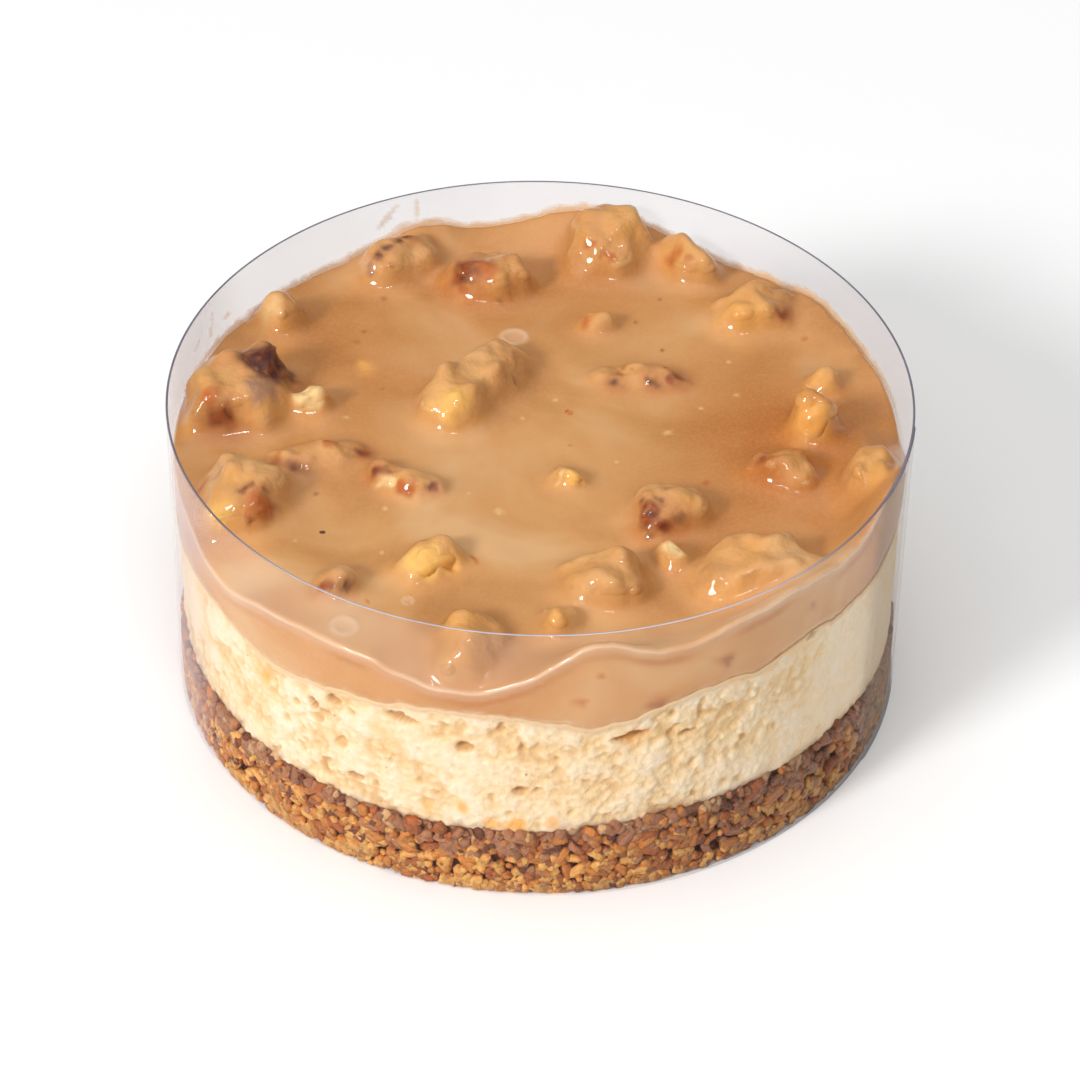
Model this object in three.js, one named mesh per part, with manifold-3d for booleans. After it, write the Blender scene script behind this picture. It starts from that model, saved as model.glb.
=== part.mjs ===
// A small baked cheesecake in a clear film collar: a pressed crumb base, a baked cheese layer and
// a caramel topping with walnut pieces set in it. Millimetres, +Z up. The origin is under the
// middle of the base. An azimuth is measured round the axis from -Y, the front, towards +X.

import * as THREE from "three";
import { ImprovedNoise } from "three/addons/math/ImprovedNoise.js";
import { mergeVertices } from "three/addons/utils/BufferGeometryUtils.js";
import Module from "manifold-3d";

const { degToRad, lerp, seededRandom, smoothstep } = THREE.MathUtils;

// The collar: a strip of stiff film whose outer end laps over its inner end.
const COLLAR_RADIUS = 50;
const COLLAR_HEIGHT = 45;
const FILM_THICKNESS = 0.3;
const LAP_AZIMUTH = 63;
const LAP_ANGLE = 20;
const COLLAR_SIDES = 90;
const LAP_SIDES = 5;

// Neighbouring pieces stay this far apart. A pocket has more at the ends of a walnut piece, so that
// there is still this much in its furrow.
const GAP = 0.3;
const POCKET_GAP = 0.45;

// The three layers, from the table up.
const CAKE_RADIUS = COLLAR_RADIUS - FILM_THICKNESS - GAP;
const BASE_HEIGHT = 10;
const CHEESE_TOP = 29.2;
const POOL_LEVEL = 36.8;

// Roughness of the sides: the size of a grain and how deep the gaps between grains go.
const CRUMB_SIZE = 2.6;
const CRUMB_DEPTH = 2.6;
const CURD_SIZE = 4.5;
const CURD_DEPTH = 1.8;

const BASE_SECTORS = 136;
const CHEESE_SECTORS = 108;
const CARAMEL_SECTORS = 72;
const SIDE_BANDS = 5;

// The caramel climbs the film over this share of its radius, and laps up round each walnut piece to
// a share of its height.
const BANK_START = 0.86;
const COAT_SHARE = 0.4;
const COAT_REACH = 0.35;
const RIPPLE_SIZE = 13;
const RIPPLE_HEIGHT = 0.6;
const POOL_RINGS = 10;

// Where the caramel stands higher or lower against the film than its usual edge.
const CARAMEL_EDGE = 36.8;
const EDGE_SWELLS = [
  { azimuth: -57, spread: 11, rise: -2.8 },
  { azimuth: -13, spread: 10, rise: -2.6 },
  { azimuth: 9, spread: 8, rise: 5 },
  { azimuth: 40, spread: 22, rise: 5.4 },
  { azimuth: 71, spread: 12, rise: 6.6 },
  { azimuth: 95, spread: 8, rise: -2.6 },
  { azimuth: 128, spread: 10, rise: 1.6 },
  { azimuth: 171, spread: 13, rise: 4.2 },
  { azimuth: -159, spread: 9, rise: 2.6 },
];

// Walnut pieces: where each lies, its size along, across and up, how far it is turned about the
// vertical and then leans back, and the height of its crown.
const WALNUT_PIECES = [
  { x: 9.6, y: 42, along: 12.4, across: 14, up: 10, turn: 0, lean: 52, crown: 45 },
  { x: 20.7, y: 40, along: 11, across: 6.6, up: 7.4, turn: -40, lean: 0, crown: 41.8 },
  { x: 29.2, y: 29, along: 12.6, across: 8.8, up: 8, turn: 12, lean: 0, crown: 41.2 },
  { x: 38.9, y: 12.4, along: 5.6, across: 4.8, up: 5, turn: 25, lean: 0, crown: 39.4 },
  { x: 36.9, y: 2.4, along: 6.8, across: 6.8, up: 9, turn: 15, lean: 0, crown: 43 },
  { x: 32.6, y: -6.6, along: 10.6, across: 8, up: 7.6, turn: -20, lean: 0, crown: 41 },
  { x: 44, y: -10.4, along: 12.6, across: 7.6, up: 9.4, turn: 78, lean: 0, crown: 43.6 },
  { x: 13.9, y: 13.6, along: 15, across: 6.4, up: 5, turn: -4, lean: 0, crown: 38.3 },
  { x: 3.8, y: -9.2, along: 6, across: 4.6, up: 4.4, turn: -15, lean: 0, crown: 39 },
  { x: 17, y: -15.8, along: 11, across: 10, up: 8.4, turn: 30, lean: 0, crown: 41.4 },
  { x: 8.4, y: -30.8, along: 12.4, across: 10.6, up: 8.6, turn: -25, lean: 0, crown: 41.6 },
  { x: 17.4, y: -26, along: 4.6, across: 5.6, up: 5.6, turn: 10, lean: 0, crown: 40.2 },
  { x: 27.8, y: -28.6, along: 18.6, across: 11.6, up: 9, turn: 20, lean: 0, crown: 41.8 },
  { x: -9.1, y: 10.6, along: 21, across: 9.8, up: 9.4, turn: 54, lean: 0, crown: 42 },
  { x: -14.4, y: -27, along: 9.6, across: 6, up: 6, turn: 32, lean: 0, crown: 40.4 },
  { x: -26.3, y: -31.8, along: 7.2, across: 6, up: 6, turn: 15, lean: 0, crown: 39.6 },
  { x: -39.3, y: -13.9, along: 14.6, across: 11.6, up: 9.4, turn: 75, lean: 0, crown: 42.2 },
  { x: -40.9, y: 7.4, along: 16.6, across: 14, up: 10.8, turn: 80, lean: 0, crown: 43 },
  { x: -31, y: 6, along: 5.4, across: 5, up: 5.8, turn: 30, lean: 0, crown: 40.4 },
  { x: -29, y: -5, along: 15, across: 6.6, up: 5.2, turn: 8, lean: 0, crown: 38.7 },
  { x: -17.6, y: -10, along: 11.4, across: 5.6, up: 5, turn: -22, lean: 0, crown: 39 },
  { x: -36.8, y: 25.2, along: 7, across: 6.8, up: 8, turn: -30, lean: 0, crown: 41.8 },
  { x: -20.2, y: 39.2, along: 12.4, across: 9.2, up: 9, turn: 32, lean: 0, crown: 42.2 },
  { x: -8, y: 35.6, along: 13.6, across: 10.2, up: 9.4, turn: -10, lean: 0, crown: 42.2 },
  { x: 8, y: 25.6, along: 5.8, across: 4.6, up: 4.8, turn: 10, lean: 0, crown: 38.9 },
  { x: -8.6, y: -42.4, along: 11, across: 9.6, up: 8.6, turn: 15, lean: 0, crown: 40.2 },
  { x: 2.8, y: -38.4, along: 4.6, across: 5.6, up: 5.8, turn: 0, lean: 0, crown: 40.2 },
];

// A piece wider than this is a quarter or a half kernel, and is cut with more faces.
const LARGE_PIECE = 7;
const FURROW_DEPTH = 0.25;
const FURROW_WIDTH = 0.3;
const LOBE_SIZE = 0.55;
const LOBE_HEIGHT = 0.34;
const LOBE_SPREAD = 200;
const BREAK_COUNT = 4;
const BREAK_NEAREST = 0.62;

const noise = new ImprovedNoise();
const FULL_TURN = 2 * Math.PI;

// A height that wanders round the cake, from a mean and a few swings of so many turns each.
function wander(azimuth, mean, swings) {
  const add = (sum, { swing, turns, crest }) =>
    sum + swing * Math.cos(turns * (azimuth - degToRad(crest)));
  return swings.reduce(add, mean);
}

function baseEdge(azimuth) {
  return wander(azimuth, BASE_HEIGHT, [
    { swing: 1, turns: 1, crest: 45 },
    { swing: 0.5, turns: 4, crest: 35 },
  ]);
}

function cheeseEdge(azimuth) {
  return wander(azimuth, CHEESE_TOP, [
    { swing: 2.6, turns: 1, crest: 75 },
    { swing: 0.7, turns: 7, crest: -13 },
  ]);
}

// The caramel's edge against the film.
function caramelEdge(azimuth) {
  const add = (sum, swell) => {
    const turn = azimuth - degToRad(swell.azimuth);
    const away = Math.atan2(Math.sin(turn), Math.cos(turn)) / degToRad(swell.spread);
    return sum + swell.rise * Math.exp(-away * away);
  };
  return EDGE_SWELLS.reduce(add, CARAMEL_EDGE);
}

// How far the caramel laps up round the walnut pieces at a point.
function coatRise(x, y) {
  const lifts = WALNUT_PIECES.map((piece) => {
    const turn = degToRad(piece.turn);
    const dx = x - piece.x;
    const dy = y - piece.y;
    const along = (2 * (dx * Math.cos(turn) + dy * Math.sin(turn))) / piece.along;
    const across = (2 * (dy * Math.cos(turn) - dx * Math.sin(turn))) / piece.across;
    const outside = Math.max(0, Math.hypot(along, across) - 1) / COAT_REACH;
    return COAT_SHARE * (piece.crown - POOL_LEVEL) * Math.exp(-outside * outside);
  });
  return Math.max(...lifts);
}

// The caramel's top: a pool with slow ripples, banked up against the film.
function caramelTop(radius, azimuth) {
  const x = radius * Math.sin(azimuth);
  const y = -radius * Math.cos(azimuth);
  const ripple = RIPPLE_HEIGHT * noise.noise(x / RIPPLE_SIZE, y / RIPPLE_SIZE, 0.5);
  const pool = POOL_LEVEL + ripple + coatRise(x, y);
  const bank = smoothstep(radius / CAKE_RADIUS, BANK_START, 1);
  return lerp(pool, caramelEdge(azimuth), bank);
}

// The radius of a side that is pitted between grains of a given size.
function pitted(azimuth, height, grain, depth) {
  const x = (CAKE_RADIUS * Math.sin(azimuth)) / grain;
  const y = (CAKE_RADIUS * Math.cos(azimuth)) / grain;
  const pit = 0.5 + 0.5 * noise.noise(x, y, height / grain);
  return CAKE_RADIUS - depth * pit;
}

// A solid turned about the axis from a profile that changes with the azimuth. A profile lists
// (radius, height) points from the axis at the bottom, out, up the side and back to the axis.
function turned(profile, sectors) {
  const rows = profile(0).length;
  const geometry = new THREE.LatheGeometry(profile(0), sectors);
  const position = geometry.attributes.position;
  for (let i = 0; i <= sectors; i++) {
    const azimuth = ((i % sectors) * FULL_TURN) / sectors;
    profile(azimuth).forEach(({ x: radius, y: height }, row) => {
      const place = i * rows + row;
      position.setXYZ(place, radius * Math.sin(azimuth), -radius * Math.cos(azimuth), height);
    });
  }
  geometry.computeVertexNormals();
  return geometry;
}

// A layer's profile: flat underneath and on top, with a pitted side.
function layerProfile(azimuth, { bottom, top, middle, grain, depth }) {
  const points = [new THREE.Vector2(0, middle.bottom)];
  for (let band = 0; band <= SIDE_BANDS; band++) {
    const height = lerp(bottom, top, band / SIDE_BANDS);
    points.push(new THREE.Vector2(pitted(azimuth, height, grain, depth), height));
  }
  points.push(new THREE.Vector2(0, middle.top));
  return points;
}

function baseProfile(azimuth) {
  return layerProfile(azimuth, {
    bottom: 0,
    top: baseEdge(azimuth),
    middle: { bottom: 0, top: BASE_HEIGHT },
    grain: CRUMB_SIZE,
    depth: CRUMB_DEPTH,
  });
}

function cheeseProfile(azimuth) {
  return layerProfile(azimuth, {
    bottom: baseEdge(azimuth) + GAP,
    top: cheeseEdge(azimuth),
    middle: { bottom: BASE_HEIGHT + GAP, top: CHEESE_TOP },
    grain: CURD_SIZE,
    depth: CURD_DEPTH,
  });
}

// The rings of the pool lie closer together towards the film, where it banks up.
function caramelProfile(azimuth) {
  const points = [
    new THREE.Vector2(0, CHEESE_TOP + GAP),
    new THREE.Vector2(CAKE_RADIUS, cheeseEdge(azimuth) + GAP),
  ];
  for (let ring = POOL_RINGS; ring >= 0; ring--) {
    const radius = CAKE_RADIUS * Math.sin(((ring / POOL_RINGS) * Math.PI) / 2);
    points.push(new THREE.Vector2(radius, caramelTop(radius, azimuth)));
  }
  return points;
}

const between = (low, high) => lerp(low, high, seededRandom());

// An evenly drawn direction.
function anyDirection() {
  const height = between(-1, 1);
  const turn = between(0, FULL_TURN);
  const level = Math.sqrt(1 - height * height);
  return new THREE.Vector3(level * Math.cos(turn), level * Math.sin(turn), height);
}

// A piece of walnut about its own middle: a lobed kernel with a furrow along it, broken flat on
// a few sides, that fills its stated size.
function walnutGeometry({ along, across, up }, seed) {
  seededRandom(seed + 1);
  const large = across > LARGE_PIECE;
  const geometry = new THREE.IcosahedronGeometry(1, large ? 2 : 1);
  const breaks = Array.from({ length: BREAK_COUNT }, () => ({
    face: anyDirection(),
    distance: between(BREAK_NEAREST, 1),
  }));
  const shift = between(0, LOBE_SPREAD);
  const position = geometry.attributes.position;
  const way = new THREE.Vector3();
  for (let i = 0; i < position.count; i++) {
    way.fromBufferAttribute(position, i).normalize();
    const furrow = large ? FURROW_DEPTH * Math.exp(-((way.y / FURROW_WIDTH) ** 2)) : 0;
    const { x, y, z } = way.clone().divideScalar(LOBE_SIZE);
    const lobe = LOBE_HEIGHT * Math.abs(noise.noise(x + shift, y, z));
    let reach = 1 + lobe - furrow * Math.max(0, way.z);
    for (const { face, distance } of breaks) {
      reach = Math.min(reach, distance / Math.max(way.dot(face), Number.EPSILON));
    }
    position.setXYZ(i, ...way.multiplyScalar(reach));
  }
  geometry.center();
  const size = geometry.boundingBox.getSize(new THREE.Vector3());
  geometry.scale(along / size.x, across / size.y, up / size.z);
  geometry.computeVertexNormals();
  return geometry;
}

// The hollow that a walnut piece leaves in the caramel: its own shape, grown all round.
function pocketGeometry(walnut) {
  const geometry = walnut.geometry.clone();
  geometry.computeBoundingBox();
  const size = geometry.boundingBox.getSize(new THREE.Vector3());
  const grown = size.clone().addScalar(2 * POCKET_GAP);
  geometry.scale(...grown.divide(size));
  walnut.updateMatrix();
  return geometry.applyMatrix4(walnut.matrix);
}

// The collar's strip seen from above, extruded to its height.
function collarGeometry() {
  const arc = (radius, start, end, sides) =>
    new THREE.EllipseCurve(0, 0, radius, radius, start, end).getPoints(sides);
  const lapStart = degToRad(LAP_AZIMUTH - 90);
  const lapEnd = lapStart + degToRad(LAP_ANGLE);
  const outline = new THREE.Shape([
    ...arc(COLLAR_RADIUS, lapEnd, lapStart + FULL_TURN, COLLAR_SIDES),
    ...arc(COLLAR_RADIUS + FILM_THICKNESS, lapStart, lapEnd, LAP_SIDES),
  ]);
  const inside = arc(COLLAR_RADIUS - FILM_THICKNESS, 0, FULL_TURN, COLLAR_SIDES);
  outline.holes.push(new THREE.Path(inside.slice(0, -1)));
  return new THREE.ExtrudeGeometry(outline, { depth: COLLAR_HEIGHT, bevelEnabled: false });
}

const wasm = await Module();
wasm.setup();

// A closed geometry as a solid that can be joined and cut.
function solidFrom(geometry) {
  const bare = new THREE.BufferGeometry();
  bare.setAttribute("position", geometry.getAttribute("position").clone());
  bare.setIndex(geometry.index);
  const merged = mergeVertices(bare, 1e-3);
  return new wasm.Manifold(
    new wasm.Mesh({
      numProp: 3,
      vertProperties: merged.attributes.position.array,
      triVerts: new Uint32Array(merged.index.array),
    }),
  );
}

function geometryFrom(solid) {
  const { vertProperties, triVerts } = solid.getMesh();
  const geometry = new THREE.BufferGeometry();
  geometry.setAttribute("position", new THREE.BufferAttribute(vertProperties, 3));
  geometry.setIndex(new THREE.BufferAttribute(triVerts, 1));
  geometry.computeVertexNormals();
  return geometry;
}

// The caramel with a pocket for each walnut piece. Scraps cut loose between pockets are dropped.
function caramelGeometry(walnuts) {
  let caramel = solidFrom(turned(caramelProfile, CARAMEL_SECTORS));
  for (const walnut of walnuts) {
    caramel = caramel.subtract(solidFrom(pocketGeometry(walnut)));
  }
  const [largest] = caramel.decompose().sort((a, b) => b.volume() - a.volume());
  return geometryFrom(largest);
}

const FINISHES = {
  film: { color: 0xe8e6e8, roughness: 0.15, metalness: 0, transparent: true, opacity: 0.2 },
  crumb: { color: 0xa9713f, roughness: 0.6, metalness: 0 },
  cheese: { color: 0xf0dfb4, roughness: 0.7, metalness: 0 },
  caramel: { color: 0xc4935c, roughness: 0.25, metalness: 0 },
  walnut: { color: 0xb97a3c, roughness: 0.4, metalness: 0 },
};

function named(name, geometry, finish) {
  const mesh = new THREE.Mesh(geometry, new THREE.MeshStandardMaterial(FINISHES[finish]));
  mesh.name = name;
  return mesh;
}

function walnutPiece(piece, index) {
  const number = String(index + 1).padStart(2, "0");
  const mesh = named(`walnut_${number}`, walnutGeometry(piece, index), "walnut");
  mesh.rotation.set(degToRad(piece.lean), 0, degToRad(piece.turn));
  const { max } = new THREE.Box3().setFromObject(mesh, true);
  mesh.position.set(piece.x, piece.y, piece.crown - max.z);
  return mesh;
}

const walnuts = WALNUT_PIECES.map(walnutPiece);

const cheesecake = new THREE.Group();
cheesecake.name = "baked_cheesecake";
cheesecake.add(
  named("crumb_base", turned(baseProfile, BASE_SECTORS), "crumb"),
  named("cheese_layer", turned(cheeseProfile, CHEESE_SECTORS), "cheese"),
  named("caramel_topping", caramelGeometry(walnuts), "caramel"),
  ...walnuts,
  named("film_collar", collarGeometry(), "film"),
);

export default cheesecake;
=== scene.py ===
"""A baked cheesecake with caramel and walnuts in its clear film collar, dressed for rendering.

Shapes are worked out in millimetres and stored in metres. An azimuth runs round the axis from -Y,
the front, towards +X.
"""

import math
import random

import bmesh
import bpy
import numpy as np
from mathutils import Matrix, Vector, noise
from mathutils.bvhtree import BVHTree


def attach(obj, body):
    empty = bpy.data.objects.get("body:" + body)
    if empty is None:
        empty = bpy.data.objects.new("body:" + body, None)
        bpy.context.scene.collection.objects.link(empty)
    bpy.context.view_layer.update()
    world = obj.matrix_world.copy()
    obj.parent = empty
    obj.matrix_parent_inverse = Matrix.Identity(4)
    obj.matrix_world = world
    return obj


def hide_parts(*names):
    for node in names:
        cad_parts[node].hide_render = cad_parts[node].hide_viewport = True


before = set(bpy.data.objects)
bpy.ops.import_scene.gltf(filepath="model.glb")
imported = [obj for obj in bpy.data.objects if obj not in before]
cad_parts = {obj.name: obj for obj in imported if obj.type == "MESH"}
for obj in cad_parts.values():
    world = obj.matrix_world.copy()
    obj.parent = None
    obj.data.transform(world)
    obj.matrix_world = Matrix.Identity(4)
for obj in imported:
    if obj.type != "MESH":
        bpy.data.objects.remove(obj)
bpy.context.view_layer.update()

MM = 0.001
FULL_TURN = 2 * math.pi

# Main sizes of the cake, in millimetres.
CAKE_RADIUS = 49.4
FILM_INSIDE = 49.7
FILM_OUTSIDE = 50.0
FILM_HEIGHT = 45.0
BASE_HEIGHT = 10.0
CHEESE_TOP = 29.2
POOL_LEVEL = 36.8
GAP = 0.3

WALNUTS = [f"walnut_{number:02d}" for number in range(1, 28)]


def linear(red, green, blue):
    """A display colour, 0 to 255, as the linear colour that shaders take."""

    def channel(value):
        value /= 255
        return value / 12.92 if value <= 0.04045 else ((value + 0.055) / 1.055) ** 2.4

    return (channel(red), channel(green), channel(blue))


# Camera

ELEVATION = math.radians(39.16)
DISTANCE = 0.5346
ROLL = math.radians(0.972)
LENS = 129.73
AIM = Vector((0, 0, 0.0225))


def add_camera():
    data = bpy.data.cameras.new("camera")
    data.sensor_width = 36
    data.lens = LENS
    data.shift_x = 1.5 / 1080
    data.shift_y = -18 / 1080
    camera = bpy.data.objects.new("camera", data)
    bpy.context.scene.collection.objects.link(camera)
    place = AIM + DISTANCE * Vector((0, -math.cos(ELEVATION), math.sin(ELEVATION)))
    tip = Matrix.Rotation(math.pi / 2 - ELEVATION, 4, "X") @ Matrix.Rotation(ROLL, 4, "Z")
    camera.matrix_world = Matrix.Translation(place) @ tip
    bpy.context.scene.camera = camera


add_camera()


# Curves of the layers round the cake

def wander(azimuth, mean, swings):
    for swing, turns, crest in swings:
        mean = mean + swing * np.cos(turns * (azimuth - math.radians(crest)))
    return mean


def base_edge(azimuth):
    return wander(azimuth, BASE_HEIGHT, [(1, 1, 45), (0.5, 4, 35)])


def cheese_edge(azimuth):
    return wander(azimuth, CHEESE_TOP, [(2.6, 1, 75), (0.7, 7, -13)])


def swell(azimuth, middle, spread):
    """1 at an azimuth in degrees, falling away on both sides."""
    turn = azimuth - math.radians(middle)
    away = np.arctan2(np.sin(turn), np.cos(turn)) / math.radians(spread)
    return np.exp(-away * away)


EDGE_SWELLS = [
    (-57, 11, -2.8), (-13, 10, -2.6), (9, 8, 5), (40, 22, 5.4), (71, 12, 6.6),
    (95, 8, -2.6), (128, 10, 1.6), (171, 13, 4.2), (-159, 9, 2.6),
]

# Where the caramel has run a little way down the cheese.
DRIPS = [(-43, 9, 0.9), (-24, 7, 0.5), (10, 9, 1.7), (35, 5, 1.2), (120, 12, 1.3), (-130, 10, 1)]


def ragged_line(azimuth, size, shift):
    """Noise along a line round the side, about -1 to 1."""
    line = around(np.full_like(azimuth, CAKE_RADIUS), azimuth, np.zeros_like(azimuth))
    return ripple(line, size, shift)


def caramel_edge(azimuth):
    height = POOL_LEVEL + 0.45 * ragged_line(azimuth, 4.2, 1.3) + 0.2 * ragged_line(azimuth, 1.5, 4.7)
    for middle, spread, rise in EDGE_SWELLS:
        height = height + rise * swell(azimuth, middle, spread)
    return height


def caramel_foot(azimuth):
    height = cheese_edge(azimuth) + GAP
    height = height + 0.6 * ragged_line(azimuth, 3.4, 2.1) + 0.25 * ragged_line(azimuth, 1.2, 6.1)
    for middle, spread, drop in DRIPS:
        height = height - drop * swell(azimuth, middle, spread)
    return height


# Mesh helpers

def points_of(mesh):
    flat = np.empty(len(mesh.vertices) * 3)
    mesh.vertices.foreach_get("co", flat)
    return flat.reshape(-1, 3)


def normals_of(mesh):
    flat = np.empty(len(mesh.vertices) * 3)
    mesh.vertex_normals.foreach_get("vector", flat)
    return flat.reshape(-1, 3)


def put_points(mesh, points):
    mesh.vertices.foreach_set("co", np.ascontiguousarray(points, float).ravel())
    mesh.update()


def polar(points):
    radius = np.hypot(points[:, 0], points[:, 1])
    azimuth = np.arctan2(points[:, 0], -points[:, 1])
    return radius, azimuth


def around(radius, azimuth, height):
    return np.stack([radius * np.sin(azimuth), -radius * np.cos(azimuth), height], axis=1)


def ripple(points, size, shift=0.0):
    """Smooth noise, about -1 to 1, at each point."""
    return np.array([noise.noise(point) for point in points / size + shift])


def curds(points, size):
    """Round grains of about this size: 0 at the middle of each and 1 between them."""
    return np.clip([noise.voronoi(point)[0][0] * 1.6 for point in points / size], 0, 1) ** 2


def smooth_between(value, low, high):
    share = np.clip((value - low) / (high - low), 0, 1)
    return share * share * (3 - 2 * share)


def paint(mesh, name, colours):
    layer = mesh.attributes.new(name, "FLOAT_COLOR", "POINT")
    layer.data.foreach_set("color", np.ascontiguousarray(colours, np.float32).ravel())


def grade(mesh, name, values):
    layer = mesh.attributes.new(name, "FLOAT", "POINT")
    layer.data.foreach_set("value", np.ascontiguousarray(values, np.float32))


def turned(profile, steps):
    """A mesh turned about the axis from (radius, height) points: a grid that is wrapped round."""
    bm = bmesh.new()
    rows = len(profile) - 1
    bmesh.ops.create_grid(bm, x_segments=steps, y_segments=rows, size=0.5)
    for vertex in bm.verts:
        azimuth = FULL_TURN * round((vertex.co.x + 0.5) * steps) / steps
        radius, height = profile[round((vertex.co.y + 0.5) * rows)]
        vertex.co = (radius * math.sin(azimuth), -radius * math.cos(azimuth), height)
    bmesh.ops.remove_doubles(bm, verts=bm.verts, dist=1e-4)
    bmesh.ops.recalc_face_normals(bm, faces=bm.faces)
    return mesh_from(bm)


def mesh_from(bm):
    mesh = bpy.data.meshes.new("shape")
    bm.to_mesh(mesh)
    bm.free()
    return mesh


def finish_piece(name, mesh, materials, nodes=()):
    """Stores a mesh worked out in millimetres as a piece that rides with the cake."""
    mesh.name = name
    put_points(mesh, points_of(mesh) * MM)
    for material in materials:
        mesh.materials.append(material)
    mesh.polygons.foreach_set("use_smooth", np.full(len(mesh.polygons), True))
    piece = bpy.data.objects.new(name, mesh)
    bpy.context.scene.collection.objects.link(piece)
    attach(piece, "root")
    if nodes:
        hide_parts(*nodes)
    return piece


# Finishes

class Finish:
    """A node material on Object coordinates, with a Principled shader."""

    def __init__(self, name):
        self.material = bpy.data.materials.new(name)
        self.material.use_nodes = True
        self.tree = self.material.node_tree
        self.shader = self.tree.nodes["Principled BSDF"]
        self.coordinates = self.tree.nodes.new("ShaderNodeTexCoord")

    def set(self, **values):
        for name, value in values.items():
            self.shader.inputs[name.replace("_", " ")].default_value = value

    def link(self, source, target):
        self.tree.links.new(source, target)

    def noise(self, size_mm, detail=4.0, roughness=0.5, distortion=0.0):
        node = self.tree.nodes.new("ShaderNodeTexNoise")
        node.inputs["Scale"].default_value = 1 / (size_mm * MM)
        node.inputs["Detail"].default_value = detail
        node.inputs["Roughness"].default_value = roughness
        node.inputs["Distortion"].default_value = distortion
        self.link(self.coordinates.outputs["Object"], node.inputs["Vector"])
        return node.outputs["Fac"]

    def grains(self, size_mm):
        node = self.tree.nodes.new("ShaderNodeTexVoronoi")
        node.inputs["Scale"].default_value = 1 / (size_mm * MM)
        self.link(self.coordinates.outputs["Object"], node.inputs["Vector"])
        return node.outputs["Distance"]

    def attribute(self, name, output="Fac"):
        node = self.tree.nodes.new("ShaderNodeAttribute")
        node.attribute_name = name
        return node.outputs[output]

    def ramp(self, source, *stops):
        """Maps a value to colours: stops are (place, colour)."""
        node = self.tree.nodes.new("ShaderNodeValToRGB")
        elements = node.color_ramp.elements
        while len(elements) < len(stops):
            elements.new(0.5)
        for element, (place, colour) in zip(elements, stops):
            element.position = place
            element.color = (*colour, 1)
        self.link(source, node.inputs["Fac"])
        return node.outputs["Color"]

    def steps(self, source, low, high, start=0.0, end=1.0):
        """Maps low..high smoothly to start..end."""
        node = self.tree.nodes.new("ShaderNodeMapRange")
        node.interpolation_type = "SMOOTHSTEP"
        for name, value in zip(("From Min", "From Max", "To Min", "To Max"), (low, high, start, end)):
            node.inputs[name].default_value = value
        self.link(source, node.inputs["Value"])
        return node.outputs["Result"]

    def sum(self, first, second, kind="ADD"):
        node = self.tree.nodes.new("ShaderNodeMath")
        node.operation = kind
        for socket, value in zip(node.inputs, (first, second)):
            if isinstance(value, (int, float)):
                socket.default_value = value
            else:
                self.link(value, socket)
        return node.outputs["Value"]

    def mix(self, share, first, second, kind="MIX"):
        node = self.tree.nodes.new("ShaderNodeMix")
        node.data_type = "RGBA"
        node.blend_type = kind
        for socket, value in zip((node.inputs[0], node.inputs[6], node.inputs[7]), (share, first, second)):
            if isinstance(value, tuple):
                socket.default_value = (*value, 1)
            elif isinstance(value, (int, float)):
                socket.default_value = value
            else:
                self.link(value, socket)
        return node.outputs[2]

    def bump(self, height, distance_mm, strength=1.0):
        node = self.tree.nodes.new("ShaderNodeBump")
        node.inputs["Distance"].default_value = distance_mm * MM
        node.inputs["Strength"].default_value = strength
        self.link(height, node.inputs["Height"])
        return node.outputs["Normal"]


CARAMEL = linear(205, 148, 90)
CARAMEL_DARK = linear(186, 128, 72)
CARAMEL_LIGHT = linear(215, 168, 116)
CARAMEL_MILK_AND_HIGHLIGHT = linear(236, 208, 178)
# A deeper caramel, used for deeper places and as painted shade round the nuts.
CARAMEL_DEEP_AND_SHADE = linear(176, 102, 34)
CARAMEL_GILT = linear(234, 178, 108)


def caramel_colour(finish):
    """Tan caramel with slow milky swirls, golden over the nuts, deeper in places, and darker round the nuts as
    painted shade.
    """
    swirl = finish.noise(19, detail=3, roughness=0.5, distortion=0.5)
    tan = finish.ramp(swirl, (0.34, CARAMEL_DARK), (0.5, CARAMEL), (0.66, CARAMEL_LIGHT))
    tan = finish.mix(finish.attribute("deep_tone_and_shade"), tan, CARAMEL_DEEP_AND_SHADE)
    tan = finish.mix(finish.attribute("gilt"), tan, CARAMEL_GILT)
    fine = finish.noise(0.5, detail=2)
    return finish.mix(finish.steps(fine, 0.3, 0.8, 0, 0.16), tan, CARAMEL_LIGHT)


def skin_colour(finish, grain):
    """The colour of the bare spots, rough where it is dark skin."""
    rough_skin = finish.ramp(grain, (0.3, (0.5, 0.42, 0.36)), (0.5, (1, 1, 1)), (0.7, (1.35, 1.25, 1.15)))
    return finish.mix(finish.attribute("skin"), finish.attribute("bare", "Color"), rough_skin, "MULTIPLY")


def caramel_finish():
    finish = Finish("caramel")
    tan = caramel_colour(finish)
    # Paleness covers milky bubbles and seep, and the painted highlight along the caramel's top edge.
    tan = finish.mix(finish.attribute("paleness"), tan, CARAMEL_MILK_AND_HIGHLIGHT)
    tan = finish.mix(finish.attribute("bare", "Alpha"), tan, skin_colour(finish, finish.noise(0.8, detail=4)))
    finish.link(tan, finish.shader.inputs["Base Color"])
    finish.set(
        Roughness=0.42, Specular_IOR_Level=0.12, Subsurface_Weight=0.2,
        Subsurface_Radius=(1, 0.5, 0.22), Subsurface_Scale=0.0009,
        Coat_Weight=0.6, Coat_Roughness=0.05,
    )
    knobs = finish.sum(finish.noise(1.7, detail=2), finish.sum(finish.attribute("knob"), 0.12), "MULTIPLY")
    relief = finish.bump(knobs, 0.3)
    finish.link(relief, finish.shader.inputs["Normal"])
    return finish.material


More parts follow.
